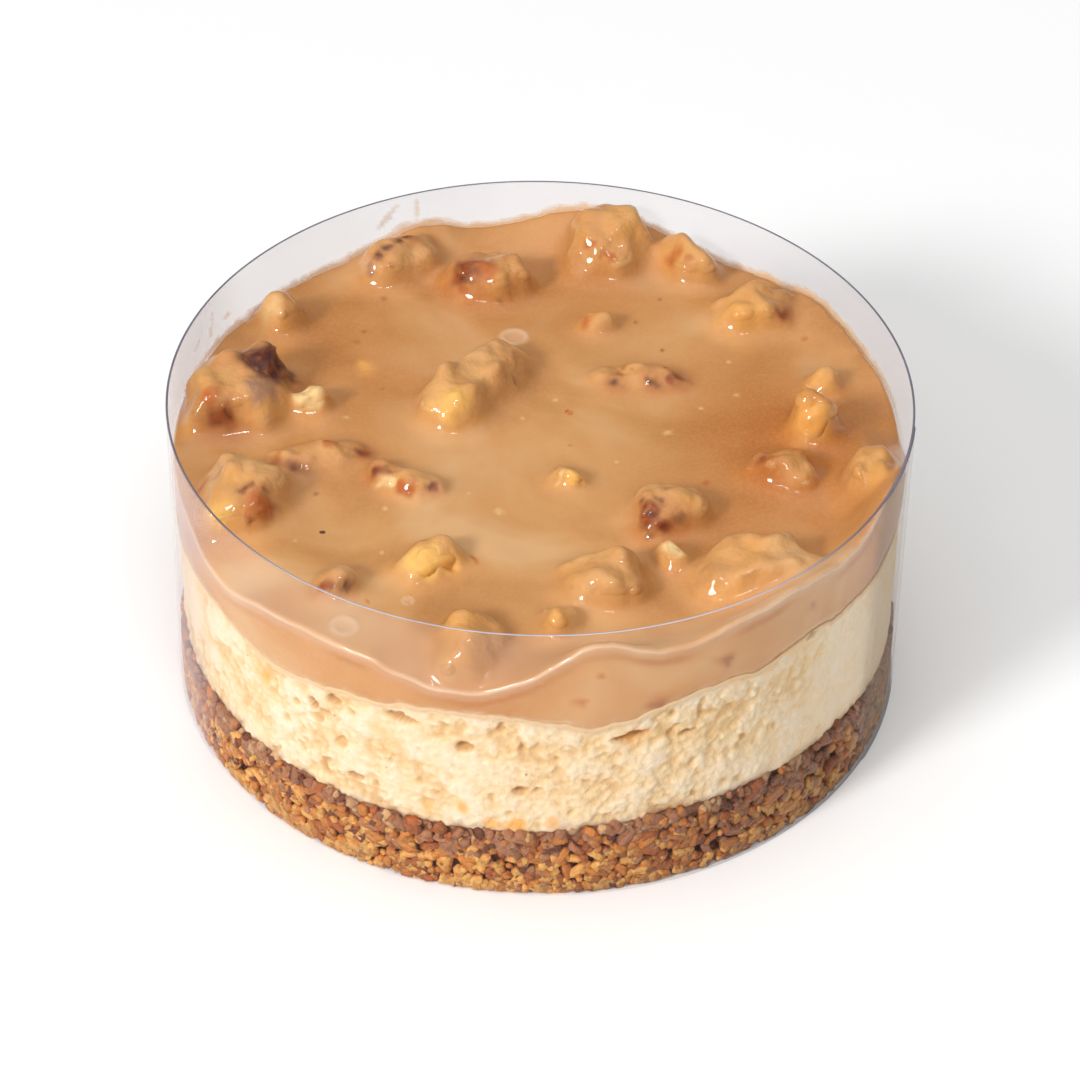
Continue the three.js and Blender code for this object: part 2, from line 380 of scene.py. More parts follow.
def walnut_finish():
    finish = Finish("walnut")
    tan = caramel_colour(finish)
    grain = finish.noise(0.9, detail=5, roughness=0.65)
    tan = finish.mix(finish.attribute("bare", "Alpha"), tan, skin_colour(finish, grain))
    finish.link(tan, finish.shader.inputs["Base Color"])
    finish.set(
        Roughness=0.38, Specular_IOR_Level=0.12, Subsurface_Weight=0.2,
        Subsurface_Radius=(1, 0.5, 0.2), Subsurface_Scale=0.0009,
        Coat_Weight=0.6, Coat_Roughness=0.05,
    )
    relief = finish.bump(finish.sum(grain, finish.attribute("skin"), "MULTIPLY"), 0.14, 0.8)
    finish.link(relief, finish.shader.inputs["Normal"])
    return finish.material


def cheese_finish():
    finish = Finish("baked_cheese")
    blotch = finish.noise(7, detail=3, roughness=0.6, distortion=0.6)
    cream = finish.ramp(
        blotch, (0.32, linear(240, 222, 194)), (0.5, linear(239, 216, 183)), (0.68, linear(238, 205, 155)),
    )
    fine = finish.noise(0.7, detail=4, roughness=0.65)
    cream = finish.mix(finish.steps(fine, 0.4, 0.75, 0, 0.45), cream, linear(248, 234, 208))
    # Deeper in the crevices the cheese is yellower, and darker as painted shade.
    crevice_tint_and_shade = finish.ramp(
        finish.attribute("crevice"), (0, linear(244, 226, 194)), (0.45, linear(236, 200, 144)),
        (1, linear(206, 152, 84)),
    )
    cream = finish.mix(finish.steps(finish.attribute("crevice"), 0.1, 0.7, 0, 0.85), cream, crevice_tint_and_shade)
    # Small dark ochre dots in some patches: painted shade in pores.
    pore_shade = finish.steps(finish.grains(2.1), 0.04, 0.1, 1, 0)
    some = finish.steps(finish.noise(6, detail=1), 0.55, 0.62)
    cream = finish.mix(finish.sum(pore_shade, some, "MULTIPLY"), cream, linear(190, 128, 60))
    cream = finish.mix(finish.attribute("stain", "Alpha"), cream, finish.attribute("stain", "Color"))
    finish.link(cream, finish.shader.inputs["Base Color"])
    finish.set(
        Roughness=0.6, Specular_IOR_Level=0.3, Subsurface_Weight=0.25,
        Subsurface_Radius=(1, 0.7, 0.35), Subsurface_Scale=0.0009,
    )
    relief = finish.bump(fine, 0.22, 0.9)
    finish.link(relief, finish.shader.inputs["Normal"])
    return finish.material


def crumb_finish():
    finish = Finish("biscuit_crumb")
    grain = finish.noise(0.7, detail=5, roughness=0.65)
    shade = finish.ramp(grain, (0.3, (0.66, 0.6, 0.52)), (0.52, (1, 1, 1)), (0.75, (1.3, 1.28, 1.2)))
    brown = finish.mix(1.0, finish.attribute("crumb", "Color"), shade, "MULTIPLY")
    finish.link(brown, finish.shader.inputs["Base Color"])
    finish.set(
        Roughness=0.36, Specular_IOR_Level=0.35, Subsurface_Weight=0.3,
        Subsurface_Radius=(1, 0.45, 0.15), Subsurface_Scale=0.001,
    )
    relief = finish.bump(grain, 0.35, 1)
    finish.link(relief, finish.shader.inputs["Normal"])
    return finish.material


def film_finish():
    """Clear film, with a thin haze where it is dry, smears of caramel, and painted shade and sheen in its
    colours.
    """
    finish = Finish("clear_film")
    finish.link(finish.attribute("film", "Color"), finish.shader.inputs["Base Color"])
    finish.link(finish.attribute("film", "Alpha"), finish.shader.inputs["Alpha"])
    finish.set(Roughness=0.3, Specular_IOR_Level=0.5)
    return finish.material


CUT_EDGE_DUSK = (0.3, 0.28, 0.32)


def film_edge_finish():
    finish = Finish("film_cut_edge")
    dusk = finish.steps(finish.noise(5), 0.4, 0.7, 0, 0.3)
    tint = finish.mix(dusk, finish.attribute("film", "Color"), CUT_EDGE_DUSK)
    finish.link(tint, finish.shader.inputs["Base Color"])
    finish.set(Roughness=0.3)
    return finish.material


# Bare and thinly coated spots: where each lies, its radius, its colour and how bare it is.
TONES = {
    "bright": linear(240, 184, 96),
    "gold": linear(224, 160, 82),
    "pale": linear(234, 198, 138),
    "amber": linear(174, 80, 18),
    "red": linear(122, 36, 4),
    "plum": linear(80, 38, 28),
    # Caramel over dark skin, lightened grey-mauve as a painted sheen.
    "mauve_sheen": linear(156, 116, 100),
    "black": linear(54, 20, 10),
}

SPOTS = [
    (-36.9, 9.4, 41.8, 4.3, "plum", 1), (-34.7, 11.4, 38.6, 2.2, "black", 1),
    (-37.6, 4.6, 42.2, 3.6, "mauve_sheen", 0.8), (-42.6, 0.3, 39.9, 2.9, "red", 0.92),
    (-44.6, 1.9, 42.0, 1.9, "amber", 0.92), (-47.5, 0.4, 38.2, 1.6, "gold", 0.8),
    (-31.6, 5.6, 39.6, 2.4, "pale", 1), (-29.4, 6.6, 39.4, 1.1, "gold", 0.92),
    (-38.0, 24.0, 40.6, 2.6, "pale", 0.6), (-23.4, 36.4, 40.9, 1.3, "plum", 0.92),
    (-22.0, 37.8, 41.5, 1.3, "plum", 0.92), (-20.6, 39.6, 41.5, 1.3, "plum", 0.92),
    (-19.3, 41.3, 41.4, 1.2, "plum", 0.92), (-24.6, 35.1, 39.9, 1.4, "mauve_sheen", 0.8),
    (-17.2, 40.8, 41.6, 0.7, "red", 0.7), (-11.8, 33.8, 41.1, 1.7, "black", 0.92),
    (-11.0, 33.2, 41.0, 3.4, "red", 0.92), (-8.4, 33.4, 42.0, 2.8, "amber", 0.9),
    (-11.6, 30.8, 39.0, 1.4, "amber", 0.8), (-14.2, 34.4, 40.4, 1.4, "amber", 0.8),
    (-5.2, 35.4, 42.2, 2.0, "amber", 0.5),
    (-12.1, 3.5, 40.3, 3.2, "bright", 0.92), (-12.8, 2.4, 39.4, 2.0, "bright", 0.92),
    (-24.6, 15.7, 36.9, 1.2, "gold", 1), (-35.6, -6.7, 38.5, 1.9, "amber", 0.92),
    (-32.7, -7.6, 38.0, 1.3, "red", 0.92), (-28.1, -3.8, 38.4, 1.4, "amber", 0.8),
    (-24.2, -3.9, 37.9, 1.4, "red", 0.92), (-21.2, -9.4, 38.5, 1.6, "red", 0.92),
    (-20.0, -11.2, 37.6, 1.2, "pale", 1), (-17.7, -12.0, 38.0, 1.7, "amber", 0.92),
    (-14.3, -12.2, 38.0, 1.3, "plum", 0.92), (-40.0, -15.3, 41.9, 1.6, "gold", 0.92),
    (-38.2, -17.2, 41.7, 1.2, "plum", 0.92), (-36.6, -19.2, 40.0, 3.2, "amber", 0.92),
    (-35.0, -18.4, 38.6, 1.2, "red", 0.92), (-38.2, -20.8, 38.9, 1.0, "red", 0.92),
    (-36.0, -16.8, 40.6, 1.0, "plum", 0.85),
    (-42.2, -19.7, 39.6, 2.6, "bright", 0.9), (-45.0, -13.5, 38.9, 1.8, "amber", 0.7),
    (-14.8, -28.8, 39.5, 3.2, "bright", 1), (-11.2, -28.3, 38.6, 2.1, "gold", 1),
    (-15.9, -25.4, 39.4, 1.2, "red", 0.92), (-7.9, -26.4, 36.9, 0.9, "amber", 0.8),
    (-27.1, -33.1, 38.9, 1.9, "red", 0.92), (-24.5, -32.8, 38.8, 1.4, "plum", 0.92),
    (-21.8, -34.5, 37.4, 0.6, "amber", 0.92), (-9.2, -41.8, 39.9, 3.4, "gold", 0.6),
    (3.9, 41.8, 41.5, 1.1, "amber", 0.8), (6.4, 39.4, 41.5, 1.1, "amber", 0.8),
    (9.2, 37.6, 40.4, 1.2, "amber", 0.8), (12.6, 41.8, 42.6, 2.6, "gold", 0.7),
    (18.2, 38.8, 40.4, 1.9, "amber", 0.7), (20.6, 37.0, 40.4, 1.3, "amber", 0.6),
    (28.2, 26.0, 40.5, 3.6, "gold", 0.9),
    (33.4, 27.0, 39.4, 1.3, "red", 0.92), (6.9, 25.2, 38.4, 1.4, "amber", 0.7),
    (18.4, 12.8, 38.2, 1.9, "red", 0.92), (15.6, 11.6, 38.0, 1.3, "plum", 0.92),
    (16.4, 14.2, 38.2, 0.9, "plum", 0.85), (19.6, 14.0, 37.7, 0.9, "plum", 0.7),
    (10.6, 11.6, 37.8, 1.0, "plum", 0.92), (10.4, 13.6, 37.8, 0.9, "red", 0.6),
    (13.4, 14.6, 38.3, 0.8, "amber", 0.85), (11.4, 15.0, 38.0, 0.8, "amber", 0.85),
    (8.4, 13.4, 37.8, 0.9, "amber", 0.7),
    (38.4, 11.8, 39.0, 1.9, "gold", 0.9), (36.2, 0.3, 41.1, 3.0, "gold", 1),
    (29.6, -8.0, 40.0, 1.7, "red", 0.9), (44.6, -12.7, 43.3, 3.2, "gold", 0.6),
    (4.5, -9.8, 38.8, 1.6, "bright", 1), (2.0, -9.5, 38.2, 0.9, "pale", 1),
    (14.2, -19.4, 40.2, 2.6, "red", 0.92), (16.6, -20.4, 39.6, 2.2, "red", 0.92),
    (13.4, -17.0, 40.2, 1.3, "plum", 0.92), (16.2, -17.6, 41.2, 1.2, "plum", 0.9),
    (18.9, -19.8, 39.8, 1.5, "plum", 0.9), (14.6, -21.4, 38.2, 1.3, "plum", 0.7),
    (19.4, -17.0, 41.1, 1.8, "gold", 0.92), (16.8, -15.0, 41.0, 0.8, "red", 0.7),
    (21.2, -18.8, 39.2, 0.9, "red", 0.7),
    (4.6, -30.2, 40.0, 2.0, "gold", 0.9), (17.7, -26.6, 40.1, 1.5, "pale", 1),
    (26.9, -27.7, 41.5, 2.4, "gold", 0.5), (22.8, -34.4, 38.8, 1.3, "gold", 0.5),
    (26.0, -34.0, 39.0, 1.1, "gold", 0.5), (2.9, -39.6, 40.0, 1.6, "gold", 0.9),
    (4.2, 6.4, 36.8, 0.5, "amber", 0.92), (7.5, -49.2, 37.9, 1.0, "amber", 0.6),
    (5.4, -49.2, 32.9, 1.0, "amber", 0.6), (15.4, -47.0, 30.8, 1.0, "red", 0.6),
    (23.8, -43.4, 35.6, 1.0, "red", 0.6), (31.0, -38.4, 32.2, 1.2, "amber", 0.7),
    (35.3, -34.6, 37.7, 0.8, "red", 0.5),
]


DARK_TONES = ("red", "plum", "black")
HALO_STRENGTH = 0.35
FLECK_STRENGTH = 0.5
SEAM_STRENGTH = 0.65


def swayed(points, size, shift):
    return np.stack([ripple(points, size, shift + step) for step in (0, 3.1, 6.2)], axis=1)


def bare_spots(points):
    """The blended colour of the bare spots near each point, how bare it is, and where dark skin shows."""
    bent = points + 1.3 * swayed(points, 2.6, 3.1) + 0.3 * swayed(points, 0.9, 2.3)
    total = np.zeros((len(points), 3))
    weight = np.full(len(points), 1e-9)
    dark = np.zeros(len(points))
    shown = np.zeros(len(points))
    for x, y, z, radius, tone, strength in SPOTS:
        is_dark = tone in DARK_TONES
        away = np.linalg.norm(bent - (x, y, z), axis=1) / radius
        share = strength * (1 - smooth_between(away, 0.45 if strength == 1 else 0.2, 1.35))
        halo = HALO_STRENGTH * strength * (1 - smooth_between(away, 0.9, 2.1))
        for part, colour in ((share, TONES[tone]), (halo, TONES["amber" if is_dark else "gold"])):
            pull = part**3
            total += pull[:, None] * np.array(colour)
            weight += pull
            shown = np.maximum(shown, part)
        dark += is_dark * share**3
    mottled = shown * np.clip(1.0 + 0.55 * ripple(points, 1.1, 6.1), 0, 1)
    shown = np.where(shown < 0.93, mottled, shown)
    colours = np.ones((len(points), 4))
    colours[:, :3] = total / weight[:, None]
    colours[:, 3] = shown
    dark = dark / weight * shown
    fleck = FLECK_STRENGTH * smooth_between(ripple(points, 0.9, 4.4), 0.0, 0.4) * dark
    colours[:, :3] += (np.array(TONES["amber"]) - colours[:, :3]) * fleck[:, None]
    seam = SEAM_STRENGTH * smooth_between(ripple(points, 1.3, 8.8), 0.12, 0.4) * dark
    colours[:, :3] += (np.array(TONES["black"]) - colours[:, :3]) * seam[:, None]
    return colours, dark


# Walnut pieces: the solids' own shapes, lobed, with wrinkled skin where they are bare

WRINKLE_SIZE = 1.9
WRINKLE_DEPTH = 0.5
LUMP_SIZE = 3.2
LUMP_HEIGHT = 0.25
FOLD_SIZE = 3.8
FOLD_DEPTH = 0.8
FOLD_LIFT = 0.25
# Kernels are eased off above the crest, so that nothing stands above the film.
NUT_CREST = 43.2
NUT_EASE = 1.0

# Lobes and hollows of the larger kernels: place, radius and height.
LOBES = [
    (-12.4, 4.2, 40.6, 4.0, 0.7), (-6.4, 15.4, 41.6, 4.4, 0.7), (-9.6, 9.6, 41.6, 2.6, -1.0),
    (6.4, -31.8, 40.6, 3.4, 0.6), (12.0, -28.6, 41.0, 3.4, 0.7), (9.2, -30.4, 41.6, 2.0, -0.8),
    (24.0, -27.0, 41.0, 2.6, 0.6), (31.6, -27.6, 41.2, 5.0, 0.5), (26.8, -28.4, 41.8, 1.8, -0.6),
    (-38.4, 11.6, 42.0, 3.0, 0.8), (-37.0, 4.4, 42.4, 2.6, -0.9), (-42.6, 2.0, 41.0, 3.0, 0.7),
    (-9.6, 33.0, 41.4, 2.2, -0.8), (-4.4, 36.0, 42.0, 3.0, 0.6), (-38.6, -16.0, 42.0, 2.0, -0.8),
    (-36.4, 12.6, 42.4, 1.5, 1.5), (-42.4, 9.4, 42.4, 1.6, 0.9), (-37.4, 26.6, 41.8, 1.6, 0.2),
    (12.4, 44.4, 44.0, 2.6, 0.8), (5.6, 42.4, 43.0, 2.0, -0.8), (36.4, 3.4, 42.8, 1.8, 0.7),
]


def walnut_mesh(node):
    bm = bmesh.new()
    bm.from_mesh(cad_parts[node].data)
    bmesh.ops.scale(bm, vec=(1 / MM,) * 3, verts=bm.verts)
    bmesh.ops.remove_doubles(bm, verts=bm.verts, dist=1e-3)
    for _ in range(2):
        bmesh.ops.subdivide_edges(bm, edges=bm.edges, cuts=1, use_grid_fill=True, smooth=0.6)
    for _ in range(3):
        bmesh.ops.smooth_vert(
            bm, verts=bm.verts, factor=0.5, use_axis_x=True, use_axis_y=True, use_axis_z=True)
    mesh = mesh_from(bm)
    points = points_of(mesh)
    normals = normals_of(mesh)
    rise = np.zeros(len(points))
    for x, y, z, radius, height in LOBES:
        away = np.linalg.norm(points - (x, y, z), axis=1) / radius
        rise = rise + height * np.exp(-away * away)
    rise = rise + FOLD_LIFT - FOLD_DEPTH * curds(points + 0.9 * swayed(points, 3.2, 2.9), FOLD_SIZE)
    points = points + normals * rise[:, None]
    over = np.maximum(points[:, 2] - NUT_CREST, 0)
    points[:, 2] += NUT_EASE * (1 - np.exp(-over / NUT_EASE)) - over
    put_points(mesh, points)
    wrinkle(mesh)
    return mesh


def wrinkle(mesh):
    """Lumps the kernel, creases its bare dark skin and colours it."""
    points = points_of(mesh)
    normals = normals_of(mesh)
    spots, dark = bare_spots(points)
    bent = points + 0.8 * swayed(points, 2.6, 1.7)
    crease = np.exp(-((ripple(bent, WRINKLE_SIZE, 4.4) / 0.13) ** 2))
    lumps = ripple(points, LUMP_SIZE, 2.2)
    depth = LUMP_HEIGHT * lumps - WRINKLE_DEPTH * crease * (0.1 + 0.9 * dark)
    put_points(mesh, points + normals * depth[:, None])
    paint(mesh, "bare", spots)
    grade(mesh, "skin", 0.15 + 0.85 * dark)


def add_walnuts(meshes, material):
    for node, mesh in meshes.items():
        finish_piece(node + "_kernel", mesh, [material], [node])


# Caramel: a pool that coats the nuts and climbs the film

CARAMEL_SECTORS = 560
TOP_RINGS = 140
SIDE_ROWS = 24
EDGE_ROUND = 0.35
BANK_START = 0.86
# The coat over the nuts: its thickness, its least thickness, the spread of its laps, how far it drops at a bare
# spot, the step of its grid, and the width of the dark ring round a nut, which is partly painted shade.
COAT = 0.25
LEAST_COAT = 0.2
LAP_SPREAD = 1.4
BARE_DROP = 0.5
COAT_GRID = 0.25
RING_WIDTH = 2.2
FOOT_TUCK = 0.4
BUBBLE_WALL = 0.14
BUBBLE_DIP = 0.06
RING_STRENGTH = 0.5
GILT_STRENGTH = 0.5
SIDE_WARMTH = 0.2
MOST_WARMTH = 0.9

# Bubbles on the pool: place and radius.
BUBBLES = [(-3.8, 23.2, 1.7), (-24.5, -39.0, 1.5), (-16.6, -33.9, 0.7)]
# Warmer places of the pool: place, radius and strength.
WARM_PLACES = [
    (34, 2, 15, 0.95), (30, -18, 12, 0.4), (2, 36, 16, 0.5), (-30, 24, 14, 0.35),
    (-34, -12, 10, 0.3), (-22, 8, 12, 0.35),
]
# Soft specks of skin and sugar in the pool: place, radius and colour.
SPECKS = [
    (-4.6, 30.9, 0.35, "amber"), (-21.8, 10.8, 0.3, "amber"), (-3.6, 10.7, 0.4, "red"),
    (-29.6, -12.4, 0.4, "plum"), (-25.8, 21.5, 0.6, "amber"), (-24.8, 23.8, 0.45, "red"),
    (-22.4, 31.6, 0.5, "red"), (-21.5, 35.0, 0.4, "red"), (-6.0, 30.1, 0.35, "plum"),
    (4.1, 6.0, 0.5, "amber"), (16.6, 32.6, 0.35, "plum"), (13.2, 27.1, 0.35, "plum"),
    (16.8, 20.8, 0.35, "plum"), (25.6, -19.3, 0.35, "amber"), (22.2, -8.6, 0.6, "amber"),
    (8.0, 37.8, 0.4, "amber"), (4.2, -1.3, 0.3, "amber"), (36.7, 23.9, 0.5, "amber"),
    (17.3, 2.4, 0.7, "pale"), (26.8, 10.7, 0.5, "pale"), (21.9, 7.7, 0.4, "pale"),
    (26.0, 18.3, 0.45, "pale"), (10.3, -4.7, 0.4, "pale"), (2.0, 8.8, 0.4, "pale"),
    (-26.3, 4.1, 0.5, "pale"), (-2.4, 4.8, 0.35, "pale"), (-20.3, -15.4, 0.5, "pale"),
    (-31.7, -22.1, 0.35, "pale"), (-20.4, -24.4, 0.4, "pale"), (-9.3, -11.9, 0.35, "pale"),
    (-5.2, -15.5, 0.7, "pale"),
]
SPECK_STRENGTH = 0.55
# Hard dark specks on the pool: place and radius.
HARD_SPECKS = [(-28.3, -20.2, 0.42)]
HARD_SPECK_STRENGTH = 0.9


def walnut_tree(meshes):
    verts, faces = [], []
    for mesh in meshes.values():
        start = len(verts)
        verts += points_of(mesh).tolist()
        faces += [[start + index for index in face.vertices] for face in mesh.polygons]
    return BVHTree.FromPolygons(verts, faces)


def blurred(grid, size):
    """A height grid smoothed by a bell of this size in millimetres."""
    reach = int(3 * size / COAT_GRID)
    bell = np.exp(-0.5 * (np.arange(-reach, reach + 1) * COAT_GRID / size) ** 2)
    bell /= bell.sum()
    padded = np.pad(grid, reach, mode="edge")
    for axis in (0, 1):
        padded = np.apply_along_axis(np.convolve, axis, padded, bell, mode="same")
    return padded[reach:-reach, reach:-reach]


def coat_grids(meshes):
    """Square grids of the caramel's top: heights, the dark ring round each nut (partly painted shade), thin
    coat and knobs.

    The caramel is a pool that banks up at the film and coats each nut, apart from its bare spots.
    """
    axis = np.arange(-CAKE_RADIUS, CAKE_RADIUS + COAT_GRID, COAT_GRID)
    x, y = (part.ravel() for part in np.meshgrid(axis, axis, indexing="ij"))
    plan = np.stack([x, y, np.full_like(x, 0.5)], axis=1)
    radius, azimuth = polar(plan)
    pool = POOL_LEVEL + 0.35 * ripple(plan, 13) + 0.1 * ripple(plan, 4.5)
    bank = smooth_between(radius / CAKE_RADIUS, BANK_START, 1)
    level = pool + (caramel_edge(azimuth) - pool) * bank
    tree = walnut_tree(meshes)
    down = Vector((0, 0, -1))
    nut = level - 4
    for number, (px, py) in enumerate(zip(x, y)):
        hit = tree.ray_cast(Vector((px, py, 60)), down)[0]
        if hit:
            nut[number] = hit.z
    bare = bare_spots(np.stack([x, y, np.maximum(nut, level)], axis=1))[0][:, 3]
    bare = smooth_between(bare, 0.93, 0.99)
    lumps = 0.4 * ripple(plan, 2.8, 3.4) + 0.25 * ripple(plan, 1.2, 5.6)
    thin = np.clip(0.4 + 0.8 * ripple(plan, 3.3, 7.9) + 0.4 * ripple(plan, 1.3, 2.2), 0, 1)
    patches = ripple(plan, 3.6, 1.9)
    shape = (len(axis), len(axis))
    level, nut, bare, lumps, radius, thin, patches = (
        part.reshape(shape) for part in (level, nut, bare, lumps, radius, thin, patches))
    cover = smooth_between(nut + COAT - level, 0, 1.2)
    coated = np.maximum(level, nut + COAT)
    laps = np.maximum(coated, blurred(coated, LAP_SPREAD))
    lumpy = blurred(laps, 0.3) + lumps * blurred(cover, 0.6)
    laps = blurred(np.maximum(lumpy, nut + LEAST_COAT), 0.3)
    shown = np.maximum(level, blurred(nut, 0.3) - BARE_DROP)
    heights = laps + (shown - laps) * blurred(bare, 0.3)
    contact = smooth_between(radius, CAKE_RADIUS - 1.6, CAKE_RADIUS - 0.2)
    foot_line = np.exp(-(((nut - level - 0.5) / 0.5) ** 2)) * smooth_between(patches, -0.1, 0.3)
    # The ring darkens the pool round each nut's base as painted shade, with a thin amber line where the coat is
    # thin at its foot.
    ring = np.clip(0.7 * blurred(cover, RING_WIDTH) - 0.6 * cover + blurred(foot_line, 0.3), 0, 1)
    gilt = blurred(smooth_between(nut - level, 0.2, 2.0) * thin, 0.5)
    heights = heights + (level - heights) * contact
    return {"height": heights, "ring": ring, "gilt": gilt, "knob": blurred(cover, 0.5)}


def read_grid(grid, x, y):
    """The grid's value at each place, blended between its four neighbours."""
    across = np.clip((x + CAKE_RADIUS) / COAT_GRID, 0, len(grid) - 1.001)
    along = np.clip((y + CAKE_RADIUS) / COAT_GRID, 0, len(grid) - 1.001)
    i, j = across.astype(int), along.astype(int)
    u, v = across - i, along - j
    near = grid[i, j] * (1 - v) + grid[i, j + 1] * v
    far = grid[i + 1, j] * (1 - v) + grid[i + 1, j + 1] * v
    return near * (1 - u) + far * u


def caramel_mesh():
    """Rings marked by height: 2 on the top, 2 down to 1 on the side, 0 underneath."""
    top = [(CAKE_RADIUS * ring / TOP_RINGS, 2) for ring in range(TOP_RINGS + 1)]
    side = [(CAKE_RADIUS, 2 - (row / SIDE_ROWS) ** 1.7) for row in range(1, SIDE_ROWS)]
    side += [(CAKE_RADIUS, 1.006), (CAKE_RADIUS, 1)]
    under = [(CAKE_RADIUS * ring / 6, 0) for ring in range(5, -1, -1)]
    return turned(top + side + under, CARAMEL_SECTORS)


def add_caramel(grids, material):
    mesh = caramel_mesh()
    marks = points_of(mesh)
    x, y = marks[:, 0], marks[:, 1]
    radius, azimuth = polar(marks)
    on_top = marks[:, 2] > 1.999
    beneath = marks[:, 2] < 0.5
    on_side = ~on_top & ~beneath
    edge = caramel_edge(azimuth)
    foot = caramel_foot(azimuth)
    level = read_grid(grids["height"], x, y)
    paleness = np.zeros_like(level)
    for px, py, size in BUBBLES:
        away = np.hypot(x - px, y - py) / size
        wall = np.exp(-(((away - 1) / 0.25) ** 2)) * on_top
        level = level + BUBBLE_WALL * wall - BUBBLE_DIP * np.exp(-(away**2) * 2) * on_top
        paleness = np.maximum(paleness, 0.3 * wall + 0.2 * np.exp(-(away**4)) * on_top)
    inset = np.clip((radius - CAKE_RADIUS + EDGE_ROUND) / EDGE_ROUND, 0, 1)
    rounded = EDGE_ROUND * (1 - np.sqrt(1 - np.minimum(inset, 0.999) ** 2))
    share = np.clip(marks[:, 2] - 1, 0, 1)
    side_height = foot + (edge - EDGE_ROUND - foot) * share
    under_height = CHEESE_TOP + GAP + (foot - CHEESE_TOP - GAP) * (radius / CAKE_RADIUS) ** 4
    height = np.where(on_top, level - rounded, np.where(beneath, under_height, side_height))
    tuck = on_side * FOOT_TUCK * (1 - smooth_between(share, 0.0, 0.16))
    put_points(mesh, around(radius - tuck, azimuth, height))
    skin = around(radius, azimuth, height)
    below = np.maximum(edge - EDGE_ROUND - height, 0)
    above = np.maximum(height - foot, 0)
    strength = 0.65 + 0.5 * ragged_line(azimuth, 7, 3.9)
    # Near the top edge the side is painted paler: partly the thinner caramel there, partly a painted highlight
    # along the rounded edge.
    lip_and_highlight = (0.7 * np.exp(-((below / 0.2) ** 2)) + 0.2 * np.exp(-below / 1.0)) * (radius > CAKE_RADIUS - 0.2)
    seep = 0.5 * (1 - smooth_between(above + 0.6 * ripple(skin, 1.1, 5.2), 0.0, 1.2)) * on_side
    grade(mesh, "paleness", np.clip(np.maximum(paleness, np.maximum(lip_and_highlight * strength, seep)), 0, 1))
    # The ring's painted shade and the deeper places of the pool go toward the same darker caramel.
    deep_tone_and_shade = RING_STRENGTH * read_grid(grids["ring"], x, y)
    for px, py, size, amount in WARM_PLACES:
        deep_tone_and_shade = deep_tone_and_shade + amount * np.exp(-(((x - px) ** 2 + (y - py) ** 2) / size**2))
    streaked = smooth_between(ragged_line(azimuth, 9, 8.3), -0.3, 0.3)
    streak = 0.5 * np.exp(-(((below - 1.6) / 0.7) ** 2)) * streaked
    grade(mesh, "deep_tone_and_shade", np.where(on_side, SIDE_WARMTH + streak, np.clip(deep_tone_and_shade, 0, MOST_WARMTH) * on_top))
    grade(mesh, "gilt", GILT_STRENGTH * read_grid(grids["gilt"], x, y) * on_top)
    grade(mesh, "knob", read_grid(grids["knob"], x, y) * on_top)
    spots, dark = bare_spots(points_of(mesh))
    for px, py, size, tone in SPECKS:
        away = np.hypot(x - px, y - py) / (1.4 * size) + 0.5 * ripple(skin, 0.7, 3.5)
        share = SPECK_STRENGTH * (1 - smooth_between(away, 0.1, 1)) * on_top
        more = share > spots[:, 3]
        spots[more, :3] = TONES[tone]
        spots[more, 3] = share[more]
    paint(mesh, "bare", spots)
    grade(mesh, "skin", dark)
    finish_piece("caramel_pool", mesh, [material], ["caramel_topping"])


def add_specks(heights, material):
    bm = bmesh.new()
    for x, y, size in HARD_SPECKS:
        level = float(read_grid(heights, np.array([x]), np.array([y]))[0])
        flat = Matrix.Translation((x, y, level)) @ Matrix.Diagonal((size, size * 0.8, size * 0.3, 1))
        bmesh.ops.create_icosphere(bm, subdivisions=2, radius=1, matrix=flat)
    tints = [(*TONES["black"], HARD_SPECK_STRENGTH)] * len(bm.verts)
    mesh = mesh_from(bm)
    paint(mesh, "bare", np.array(tints))
    finish_piece("walnut_specks", mesh, [material])


# Cheese layer: curds and pits at its side

CHEESE_SECTORS = 1020
CHEESE_ROWS = 66
# Depths of the relief: everywhere, and how much deeper where the side is curdy.
GRAIN_DEPTH = (0.08, 0.14)
CLOT_DEPTH = (0.05, 0.24)
CLUMP_DEPTH = (0.08, 0.18)
PIT_DEPTH = (0.12, 0.33)

# Torn hollows in the side: azimuth, height, half width, half height and depth.
HOLLOWS = [
    (-20, 27.1, 2.0, 0.9, 1.5), (-10.5, 24.2, 1.2, 0.8, 1.2), (-28.3, 14.3, 1.1, 0.6, 1.0),
    (14.5, 25.8, 2.8, 0.8, 1.3), (-35.9, 23.8, 0.7, 1.1, 1.2), (-32.3, 25.9, 1.1, 0.7, 1.1),
    (-2.1, 17.5, 1.0, 0.7, 0.9), (46.5, 32.0, 0.8, 0.6, 0.9), (23.7, 24.6, 1.4, 0.5, 0.7),
    (120, 22, 2.2, 0.9, 1.3), (170, 25, 2.6, 0.9, 1.4), (-140, 19, 1.8, 0.9, 1.2), (-95, 24, 1.6, 0.8, 1.2),
]
# Yellow and baked stains: azimuth, height, radius and strength.
STAINS = [
    (-46.3, 22.9, 2.4, 0.7), (-22.9, 22.8, 3.0, 0.5), (-10.8, 13.5, 1.6, 0.9), (-2.7, 11.6, 2.0, 1),
    (-6.0, 11.2, 1.6, 0.9), (38.3, 31.1, 2.6, 0.6), (-38, 25.6, 1.8, 0.6), (-51.9, 22.3, 1.6, 0.5),
    (14.5, 25.6, 2.4, 0.5), (-33, 20, 2.2, 0.3), (3, 12.2, 1.6, 0.7), (-16, 12.6, 1.4, 0.6),
    (95, 20, 2.6, 0.5), (150, 13, 2.0, 0.8), (-170, 22, 2.6, 0.5), (-110, 13, 2.0, 0.8),
]


def round_the_side(azimuth, height, middle, level):
    """How far each point of the side is from a place on it, across and up."""
    turn = azimuth - math.radians(middle)
    return np.arctan2(np.sin(turn), np.cos(turn)) * CAKE_RADIUS, height - level


